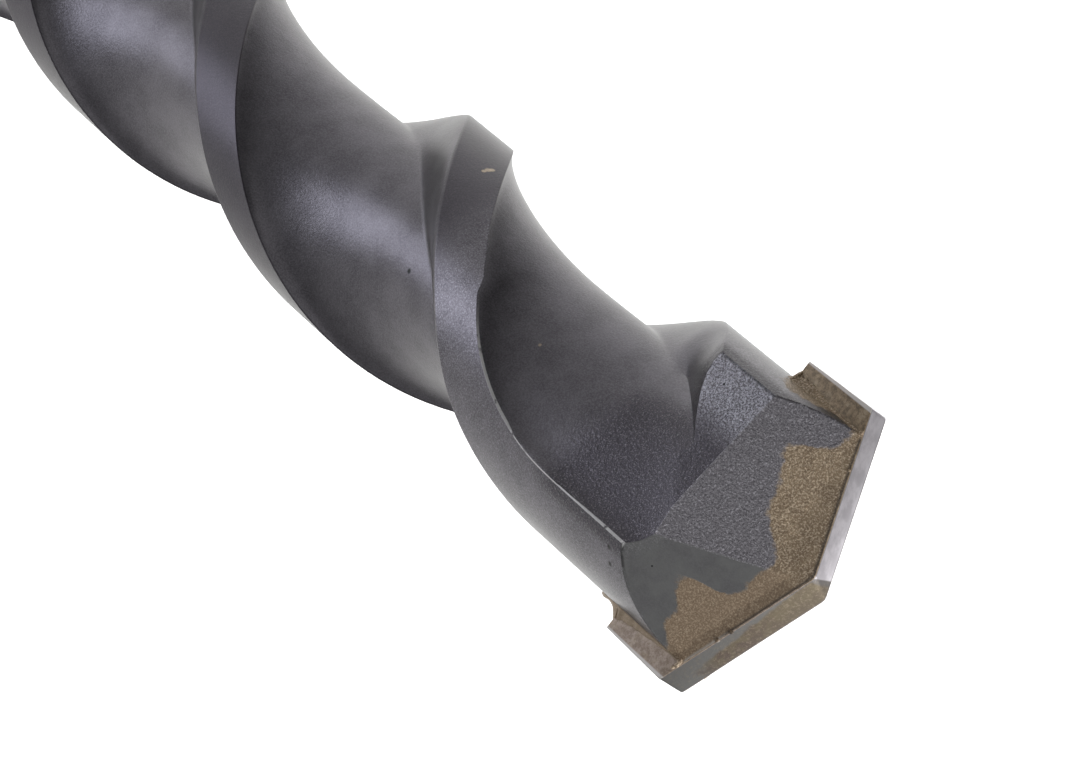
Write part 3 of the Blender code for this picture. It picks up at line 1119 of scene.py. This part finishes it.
    def rim_angle(self, height: float, lead: float, width: float) -> float:
        """Returns the angle past the helical edge where the flute's wall meets the head flat.

        Args:
            height: The height of the section.
            lead: The angle of the helical edge.
            width: The flute's angle.

        Returns:
            The angle at which the flat ends.
        """
        least, found = 1.0, 0.0
        for step in range(241):
            angle = width * 0.75 * step / 240
            gap = self.flute_radius(height, angle, width) - self.flat_radius(height, lead + angle)
            if gap < 0:
                return angle
            if gap < least:
                least, found = gap, angle
        return found

    def flute_angles(self, height: float, outer: float, trailing: float) -> list[float]:
        """Spaces a section's points over the flat, the wall and the slope of one flute.

        Args:
            height: The section's height.
            outer: The angle at which the flute or the flat starts.
            trailing: The angle at which the flute ends.

        Returns:
            The points' angles.
        """
        row = max(height, self.neck_end)
        lead = self.lead_angle(row)
        past = self.helix_rim
        if height > BIT_LENGTH - self.head_length:
            past = self.rim_angle(height, lead, self.flute_width(row))
        rim = max(lead + past, outer + self.least_ledge)
        foot = max(lead + self.wall_end(height), rim + self.least_wall)
        angles = [outer + (rim - outer) * i / self.flat_stations for i in range(self.flat_stations)]
        angles += [rim + (foot - rim) * i / self.wall_stations for i in range(self.wall_stations)]
        slope = trailing - self.chamfer_in - foot
        for i in range(self.slope_stations + 1):
            angles.append(foot + slope * sin(pi / 2 * i / self.slope_stations))
        return angles

    def half_ring(self, height: float, side: Side) -> list[tuple[float, float, float]]:
        """Returns (angle, radius, share of rubbed edge with a painted highlight) of the section's
        points over half a turn.

        Args:
            height: The section's height.
            side: The half that is drawn, before its turn about the axis.

        Returns:
            The points from the leading edge, across the flute and the land.
        """
        row = max(height, self.neck_end)
        lead, width, growth = self.lead_angle(row), self.flute_width(row), self.land_growth(row, side)
        outer = FLAT_TURN - self.flat_half if height > BIT_LENGTH - self.head_length else lead
        taken = smooth_step((height - BIT_LENGTH + self.settle_start) / self.settle_length)
        flat_end = FLAT_TURN + self.flat_half
        trailing = lead + width + (flat_end - lead - width) * taken - growth
        points = []
        for angle in self.flute_angles(height, outer, trailing):
            radius = self.flute_radius(height, angle - lead, width, growth) if angle > lead else 1.0
            radius = min(radius, self.outer_radius(height), self.flat_radius(height, angle))
            points.append((angle, radius, 0.0))
        # The rubbed edge, where a highlight is painted, comes in above a height.
        worn_glint = smooth_step((height - self.worn_glint_from) / self.worn_glint_length)
        points[-1] = (*points[-1][:2], worn_glint)
        land = trailing + self.chamfer_out
        points.append((land, self.outer_radius(height), worn_glint))
        land += self.worn_rim
        for i in range(self.land_stations):
            angle = land + (outer + pi - land) * i / self.land_stations
            points.append((angle, self.outer_radius(height), 0.0))
        return points

    def skin(self, heights: Sequence[float]) -> Mesh:
        """Wraps a closed mesh round the bit's sections.

        Args:
            heights: The heights of the sections, from the lowest up.

        Returns:
            A closed mesh between the first and the last height, with its rubbed edge, where a
            highlight is painted.
        """
        loops, wear_glints = [], {}
        for height in heights:
            fluted = smooth_step((height - self.neck_end) / self.run_in)
            loop = []
            for side in Side:
                half = self.half_ring(height, side)
                for index, (angle, radius, worn_glint) in enumerate(half):
                    even = half[0][0] + pi * index / len(half)
                    turn = side.value + even + (angle - even) * fluted
                    loop.append(Vector((radius * cos(turn), radius * sin(turn), height)))
                    if worn_glint:
                        wear_glints[loop[-1].copy().freeze()] = worn_glint
            loops.append(loop)
        bm = wrap(loops)
        wear_glint = bm.verts.layers.float.new("wear_glint")
        for vert in bm.verts:
            vert[wear_glint] = wear_glints.get(vert.co.copy().freeze(), 0.0)
        return bm

    def build(self, material: Material) -> Piece:
        """Builds the body from three lengths: the grooved shank, the flutes and the head.

        Args:
            material: The steel's finish.

        Returns:
            The body's object.
        """
        head = self.head_seam
        shank = [0.0, self.shank_chamfer] + spread(0.002, self.seam_height, 0.002)
        flutes = spread(self.seam_height, self.neck_end, 0.001)
        flutes += spread(self.neck_end, self.dense_from, 0.0006)
        flutes += spread(self.dense_from, head, 0.0003)
        ground = self.skin(spread(head, BIT_LENGTH, 0.00012) + [BIT_LENGTH])
        self.grind_facets(ground)
        lengths = [
            carve(self.skin(shank + [self.seam_height]), self.groove_cutters()),
            self.skin(flutes + [head]),
            carve(ground, [self.slot_cutter()]),
        ]
        for length in lengths:
            caps = [face for face in length.faces if self.on_seam(face, (self.seam_height, head))]
            bmesh.ops.delete(length, geom=caps, context="FACES")
        whole = bmesh.new()
        whole.verts.layers.float.new("wear_glint")
        gather(lengths, whole)
        bmesh.ops.remove_doubles(whole, verts=whole.verts, dist=1e-6)
        return add_piece(whole, "steel_body_dressed", material, 26.0)

    def on_seam(self, face: bmesh.types.BMFace, seams: Iterable[float]) -> bool:
        """Returns whether a face is a cap where two lengths meet."""
        return any(all(abs(vert.co.z - seam) < 1e-6 for vert in face.verts) for seam in seams)

    def grind_facets(self, bm: Mesh) -> None:
        """Grinds the head's four facets, two on each side of the insert.

        Args:
            bm: The head's mesh.
        """
        for side in Side:
            turn = side.turn
            trim(bm, Vector((0, 0, BIT_LENGTH + RAKE_RISE)), turn @ RAKE_NORMAL)
            trim(bm, Vector((0, 0, BIT_LENGTH + HEEL_RISE)), turn @ HEEL_NORMAL)

    def slot_cutter(self) -> Mesh:
        """Returns the block that cuts the insert's slot across the head.

        Returns:
            A closed mesh.
        """
        bm = bmesh.new()
        width = INSERT_THICKNESS + 2 * self.slot_margin
        depth = INSERT_HEIGHT + 2 * self.slot_margin
        size = Matrix.Diagonal((width, 4 * CUT_RADIUS, 2 * depth, 1))
        bmesh.ops.create_cube(bm, size=1, matrix=Matrix.Translation((0, 0, BIT_LENGTH)) @ size)
        return bm

    def groove_cutters(self) -> list[Mesh]:
        """Returns the two drive grooves' and the two locking grooves' cutters."""
        return [cutter(side) for side in Side for cutter in (self.drive_cutter, self.ball_cutter)]

    def drive_cutter(self, side: Side) -> Mesh:
        """Returns the block of one open drive groove, with its slanting end.

        Args:
            side: The half of the bit that it is on.

        Returns:
            A closed mesh.
        """
        bm = bmesh.new()
        turn = side.turn
        reach = 0.003
        size = Matrix.Diagonal((2 * reach, self.drive_width, 2 * self.drive_length, 1))
        place = turn @ Matrix.Translation((self.drive_floor + reach, 0, 0))
        bmesh.ops.create_cube(bm, size=1, matrix=place @ size)
        end = Vector((self.drive_floor, 0, self.drive_length - self.drive_runout))
        trim(bm, turn @ end, turn @ Vector((-self.drive_lean, 0, 1)))
        return bm

    def ball_cutter(self, side: Side) -> Mesh:
        """Returns the long round-ended shape of one closed locking groove.

        Args:
            side: The half of the bit that it is on.

        Returns:
            A closed mesh.
        """
        bm = bmesh.new()
        out = self.shank_radius - self.ball_depth + self.ball_radius
        low = self.ball_start + self.ball_radius
        place = about_axis(side.value + pi / 2) @ Matrix.Translation((out, 0, low))
        bmesh.ops.create_uvsphere(
            bm, u_segments=48, v_segments=32, radius=self.ball_radius, matrix=place
        )
        for vert in bm.verts:
            if vert.co.z > low + 1e-6:
                vert.co.z += self.ball_stretch
        return bm


@dataclass
class CarbideInsert:
    """The ground carbide plate across the point."""

    back_taper: float = 0.00008
    chisel_round: float = 0.00013
    corner_round: float = 0.00010
    edge_round: float = 0.00004
    corner_depth: float = 0.004
    spare: float = 0.001

    def build(self, material: Material) -> Piece:
        """Builds the insert.

        Args:
            material: The carbide's finish.

        Returns:
            The insert's object.
        """
        bm = bmesh.new()
        length = INSERT_HEIGHT + self.spare
        size = Matrix.Diagonal((INSERT_THICKNESS, 2 * CUT_RADIUS, length, 1))
        place = Matrix.Translation((0, 0, BIT_LENGTH - INSERT_HEIGHT + length / 2))
        bmesh.ops.create_cube(bm, size=1, matrix=place @ size)
        point = Vector((0, 0, BIT_LENGTH))
        for side in Side:
            trim(bm, point, side.turn @ Vector((RELIEF_SLOPE, POINT_SLOPE, 1)))
        for vert in bm.verts:
            if vert.co.z < BIT_LENGTH - INSERT_HEIGHT + 1e-6:
                vert.co.y -= self.back_taper if vert.co.y > 0 else -self.back_taper
        self.round_edges(bm, self.chisel_round, lambda v: v.co.z > BIT_LENGTH - 0.0001)
        self.round_edges(
            bm, self.corner_round,
            lambda v: abs(v.co.y) > CUT_RADIUS - 1e-6 and v.co.z > BIT_LENGTH - self.corner_depth,
        )
        self.round_edges(bm, self.edge_round, lambda v: True)
        return add_piece(bm, "carbide_insert_dressed", material, 40.0)

    def round_edges(
        self, bm: Mesh, radius: float, chosen: Callable[[bmesh.types.BMVert], bool]
    ) -> None:
        """Rounds the sharp edges whose two ends are chosen.

        Args:
            bm: The insert's mesh.
            radius: How far the rounding reaches.
            chosen: The test that both ends of an edge must pass.
        """
        edges = [
            edge
            for edge in bm.edges
            if chosen(edge.verts[0]) and chosen(edge.verts[1])
            and edge.is_manifold and edge.calc_face_angle() > radians(24)
        ]
        bmesh.ops.bevel(
            bm, geom=edges, offset=radius, segments=3, profile=0.5,
            affect="EDGES", material=-1, clamp_overlap=True,
        )


@dataclass
class BrazeJoint:
    """The braze: fillets along both broad faces and a run of metal under each corner.

    A run's outline, for the lower corner and then the upper one, is pairs of the distance
    from the axis and the height over the insert's foot. A crumb is its place across and
    along the insert, and its radius.
    """

    bury: float = 0.00012
    sink: float = 0.00003
    across_stations: int = 8
    along_step: float = 0.00006
    facet_width: float = 0.00022
    facet_lean: float = 1.1
    land_width: float = 0.00008
    land_spread: float = 0.00026
    land_rise: float = 0.00006
    land_climb: float = 0.00028
    lump_size: float = 0.0006
    fine_size: float = 0.0002
    run_stations: int = 24
    run_half: float = INSERT_THICKNESS / 2 + 0.00026
    run_depth: float = 0.0004
    runs: tuple[tuple[tuple[float, float], ...], ...] = (
        (
            (0.00575, 0.0001), (0.00570, -0.0001), (0.00556, -0.00022), (0.00538, -0.00042),
            (0.00526, -0.00068), (0.00522, -0.00092), (0.00526, -0.00112), (0.00528, -0.00122),
            (0.00522, -0.00130),
        ),
        (
            (0.00575, 0.0001), (0.00570, -0.00003), (0.00556, -0.00006), (0.00544, -0.00010),
            (0.00534, -0.00016), (0.00526, -0.00024), (0.00520, -0.00032), (0.00516, -0.00040),
            (0.00512, -0.00046),
        ),
    )
    crumbs: tuple[tuple[float, float, float], ...] = (
        (0.00064, 0.00361, 0.00008), (0.00060, 0.00307, 0.00008), (0.00078, 0.00505, 0.00010),
        (0.00070, 0.00520, 0.00009), (0.00075, 0.00535, 0.00007), (0.00085, 0.00495, 0.00007),
        (0.00066, -0.00385, 0.00006), (0.00072, -0.00510, 0.00008),
    )

    def steel_top(self, across: float, along: float) -> float:
        """Returns the ground head's height beside the insert's front face.

        Args:
            across: The place across the insert.
            along: The place along the insert.

        Returns:
            The height of the lower of its two facets there.
        """
        rake = RAKE_RISE - RAKE_NORMAL.x * across - RAKE_NORMAL.y * along
        heel = HEEL_RISE - HEEL_NORMAL.x * across - HEEL_NORMAL.y * along
        return BIT_LENGTH + min(rake, heel)

    def lip(self, along: float) -> float:
        """Returns the height of the insert's front lip.

        Args:
            along: The place along the insert.

        Returns:
            The height.
        """
        across = INSERT_THICKNESS / 2
        upper = POINT_SLOPE * along + RELIEF_SLOPE * across
        lower = -POINT_SLOPE * along - RELIEF_SLOPE * across
        return BIT_LENGTH + min(upper, lower)

    def route(self) -> list[tuple[float, float, Vector]]:
        """Returns (along, height, outward) up one land, across the facets and down the other.

        Returns:
            The fillet's stations, one after another.
        """
        half = INSERT_THICKNESS / 2
        land = sqrt(BODY_RADIUS ** 2 - half ** 2)
        foot = BIT_LENGTH - INSERT_HEIGHT - 0.0002
        points = []
        for height in spread(foot, self.steel_top(half, -land), self.along_step):
            points.append((-land, height, Vector((0, -1, 0))))
        for along in spread(-land, land, self.along_step):
            points.append((along, self.steel_top(half, along), Vector((0, 0, 1))))
        down = spread(foot, self.steel_top(half, land), self.along_step)
        for height in reversed(down):
            points.append((land, height, Vector((0, 1, 0))))
        return points

    def fillet_size(self, along: float, height: float, outward: Vector) -> tuple[float, float]:
        """Returns a fillet's width over the steel and its height up the insert's face.

        Args:
            along: The place along the insert.
            height: The station's height.
            outward: The way out of the steel there.

        Returns:
            The width and the height.
        """
        place = Vector((0, along, height))
        coarse, fine = ragged(place, self.lump_size), ragged(place, self.fine_size, 7.0)
        lumps = 1 + 0.35 * coarse + 0.2 * fine
        if outward.z > 0.5:
            short = self.sink + self.sink * abs(ragged(place, 0.0003, 3.0))
            rise = max(self.lip(along) - height - short, 0.00004)
            return (self.facet_width + self.facet_lean * rise) * lumps, rise
        low = smooth_step((BIT_LENGTH - 0.0032 - height) / 0.003)
        width = self.land_width + self.land_spread * low
        return width * lumps, (self.land_rise + self.land_climb * low) * lumps

    def fillet(self, side: Side) -> Mesh:
        """Builds the fillet along one broad face of the insert.

        Args:
            side: The half of the bit that it is on.

        Returns:
            A closed mesh.
        """
        half = INSERT_THICKNESS / 2
        route = self.route()
        loops = []
        for index, (along, height, outward) in enumerate(route):
            near = route[max(index - 4, 0)][2] + route[min(index + 4, len(route) - 1)][2]
            lift = (outward + near).normalized()
            width, rise = self.fillet_size(along, height, outward)
            ends = min(index, len(route) - 1 - index) / 6
            rise *= smooth_step(ends + 0.05)
            loop = [Vector((half - self.bury, along, height)) - lift * self.bury]
            for step in range(self.across_stations + 1):
                share = step / self.across_stations
                across = half + width * share
                foot = self.on_steel(across, along, height, outward)
                fall = (1 - share) ** 1.6
                loop.append(foot + lift * (rise * fall - self.sink * share))
            foot = self.on_steel(half + width, along, height, outward)
            loop.append(foot - lift * self.bury)
            loops.append([side.turn @ point for point in loop])
        return wrap(loops)

    def on_steel(self, across: float, along: float, height: float, outward: Vector) -> Vector:
        """Returns the place on the steel beside a point of the route.

        Args:
            across: The place across the insert.
            along: The place along the insert.
            height: The station's height.
            outward: The way out of the steel there.

        Returns:
            The place.
        """
        if outward.z > 0.5:
            return Vector((across, along, self.steel_top(across, along)))
        along = outward.y * sqrt(BODY_RADIUS ** 2 - across ** 2)
        return Vector((across, along, min(height, self.steel_top(across, along))))

    def run_below(self, corner: Corner) -> Mesh:
        """Builds the metal that has run down the land under one of the insert's corners.

        Args:
            corner: The corner it hangs under. The lower one has the longer run.

        Returns:
            A closed mesh.
        """
        foot = BIT_LENGTH - INSERT_HEIGHT
        outline = self.runs[list(Corner).index(corner)]
        loops = []
        for step in range(self.run_stations + 1):
            share = 2 * step / self.run_stations - 1
            across = self.run_half * share
            full = (1 - abs(share) ** 3.5)
            fall = 0.6 + 0.4 * full
            land = sqrt(BODY_RADIUS ** 2 - across ** 2)
            inside = (land - self.run_depth) * corner.value
            loop = [Vector((across, inside, foot + 0.0001))]
            for out, down in outline:
                thick = max(out - BODY_RADIUS, 0.00002) * full
                thick *= 1 + 0.18 * ragged(Vector((across, out, down)), 0.0004, 11.0)
                along = (land - 0.00004 + thick) * corner.value
                loop.append(Vector((across, along, foot + down * fall)))
            loop.append(Vector((across, inside, foot + outline[-1][1] * fall - 0.0001)))
            loops.append(loop)
        return wrap(loops)

    def crumb(self, across: float, along: float, radius: float, side: Side) -> Mesh:
        """Builds one lump of spatter on the insert's lip.

        Args:
            across: The place across the insert.
            along: The place along the insert.
            radius: The lump's radius.
            side: The half of the bit that it is on.

        Returns:
            A closed mesh.
        """
        bm = bmesh.new()
        height = max(self.lip(along), self.steel_top(across, along)) - 0.3 * radius
        bmesh.ops.create_icosphere(bm, subdivisions=3, radius=radius)
        centre = Vector((across, along, height))
        for vert in bm.verts:
            vert.co *= 1 + 0.35 * ragged(vert.co + centre, radius * 0.8, 5.0)
            vert.co = side.turn @ (vert.co + centre)
        return bm

    def build(self, material: Material) -> Piece:
        """Builds the whole joint.

        Args:
            material: The braze's finish.

        Returns:
            The joint's object.
        """
        parts = [self.fillet(side) for side in Side]
        parts += [self.run_below(corner) for corner in Corner]
        parts += [self.crumb(*place, Side.FRONT) for place in self.crumbs]
        return add_piece(gather(parts, bmesh.new()), "braze_joint_dressed", material, 50.0)


@dataclass(frozen=True)
class Lamp:
    """One soft square lamp, which the camera doesn't see."""

    name: str
    place: tuple[float, float, float]
    aim: tuple[float, float, float]
    size: float
    power: float
    colour: Colour = (1.0, 1.0, 1.0)
    spread: float = pi

    def hang(self) -> None:
        """Hangs the lamp and points it at its aim."""
        light = bpy.data.lights.new(self.name, "AREA")
        light.color = self.colour
        light.spread = self.spread
        light.shape = "SQUARE"
        light.size = self.size
        light.energy = self.power
        lamp = bpy.data.objects.new(self.name, light)
        lamp.location = self.place
        lamp.rotation_mode = "QUATERNION"
        way = Vector(self.aim) - Vector(self.place)
        lamp.rotation_quaternion = way.to_track_quat("-Z", "Y")
        lamp.visible_camera = False
        bpy.context.scene.collection.objects.link(lamp)


@dataclass
class Studio:
    """The pale floor, the soft light and the camera."""

    lens: float = 140.96
    sensor: float = 36.0
    eye: Vector = field(default_factory=lambda: Vector((0.11426, -0.01056, 0.25011)))
    right: Vector = field(default_factory=lambda: Vector((-0.5760, -0.6021, 0.5529)))
    up: Vector = field(default_factory=lambda: Vector((0.3692, -0.7951, -0.4812)))
    behind: Vector = field(default_factory=lambda: Vector((-0.90, 0.35, 0.0)))
    dim: float = 0.075
    bright: float = 0.30
    floor_half: float = 3.0
    lamps: tuple[Lamp, ...] = (
        Lamp("floor_lamp", (-0.22, -0.02, 0.30), (-0.19, -0.02, 0.0), 0.44, 0.95, spread=radians(92)),
        Lamp("back_lamp", (-0.55, 0.10, 0.30), (0, 0, 0.145), 0.55, 1.00),
        Lamp("front_lamp", (0.42, 0.05, 0.55), (0, 0, 0.145), 0.90, 0.80),
        Lamp("low_lamp", (0.100, 0.023, 0.0475), (0, 0, 0.145), 0.070, 0.032, (0.84, 0.87, 1.0)),
    )

    def place_camera(self) -> None:
        """Places the camera where the photograph was taken from."""
        camera = bpy.data.cameras.new("camera")
        camera.lens = self.lens
        camera.sensor_width = self.sensor
        camera.clip_start, camera.clip_end = 0.005, 20.0
        eye = bpy.data.objects.new("camera", camera)
        back = self.right.cross(self.up).normalized()
        right = self.up.cross(back).normalized()
        up = back.cross(right)
        turn = Matrix((right, up, back)).transposed().to_4x4()
        eye.matrix_world = Matrix.Translation(self.eye) @ turn
        bpy.context.scene.collection.objects.link(eye)
        bpy.context.scene.camera = eye

    def lay_floor(self, material: Material) -> Piece:
        """Lays the floor that the bit stands on.

        Args:
            material: The floor's finish.

        Returns:
            The floor's object.
        """
        bm = bmesh.new()
        bmesh.ops.create_grid(bm, x_segments=2, y_segments=2, size=self.floor_half)
        floor = add_piece(bm, "floor", material)
        return floor

    def light_room(self) -> None:
        """Makes the room white behind the bit and dimmer towards the camera."""
        world = bpy.data.worlds.new("room")
        world.use_nodes = True
        tree = world.node_tree
        ray = tree.nodes.new("ShaderNodeTexCoord").outputs["Generated"]
        dot = tree.nodes.new("ShaderNodeVectorMath")
        dot.operation = "DOT_PRODUCT"
        dot.inputs[1].default_value = self.behind.normalized()
        tree.links.new(ray, dot.inputs[0])
        level = tree.nodes.new("ShaderNodeMapRange")
        level.interpolation_type = "SMOOTHSTEP"
        level.inputs["From Min"].default_value = -0.6
        level.inputs["From Max"].default_value = 0.8
        level.inputs["To Min"].default_value = self.dim
        level.inputs["To Max"].default_value = self.bright
        tree.links.new(dot.outputs["Value"], level.inputs["Value"])
        background = tree.nodes["Background"]
        background.inputs["Color"].default_value = (1, 1, 1, 1)
        tree.links.new(level.outputs["Result"], background.inputs["Strength"])
        bpy.context.scene.world = world

    def light(self) -> None:
        """Lights the set: a soft room, and soft lamps of which one is over the floor behind."""
        bpy.context.scene.view_settings.view_transform = "Standard"
        self.light_room()
        for lamp in self.lamps:
            lamp.hang()


def paper() -> Material:
    """Returns the floor's plain white paper.

    Returns:
        The material.
    """
    shader = Shader("floor")
    shader.set(Base_Color=(0.92, 0.92, 0.92), Roughness=0.8)
    return shader.material


def main() -> None:
    """Builds the studio and the pieces in order."""
    studio = Studio()
    studio.place_camera()
    studio.light()
    studio.lay_floor(paper())
    flux = Flux()
    pieces = (
        (SteelBody().build(BlastedSteel().material(flux)), "steel_body", "blasted_steel"),
        (CarbideInsert().build(GroundCarbide().material()), "carbide_insert", "ground_carbide"),
        (BrazeJoint().build(BrazeMetal().material(flux)), "braze_joint", "braze_metal"),
    )
    for piece, node, slot in pieces:
        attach(piece, "root")
        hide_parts(node)
        LOG.info("%s: %d points in place of %s", piece.name, len(piece.data.vertices), node)


if __name__ == "__main__":
    logging.basicConfig(level=logging.INFO)
    main()
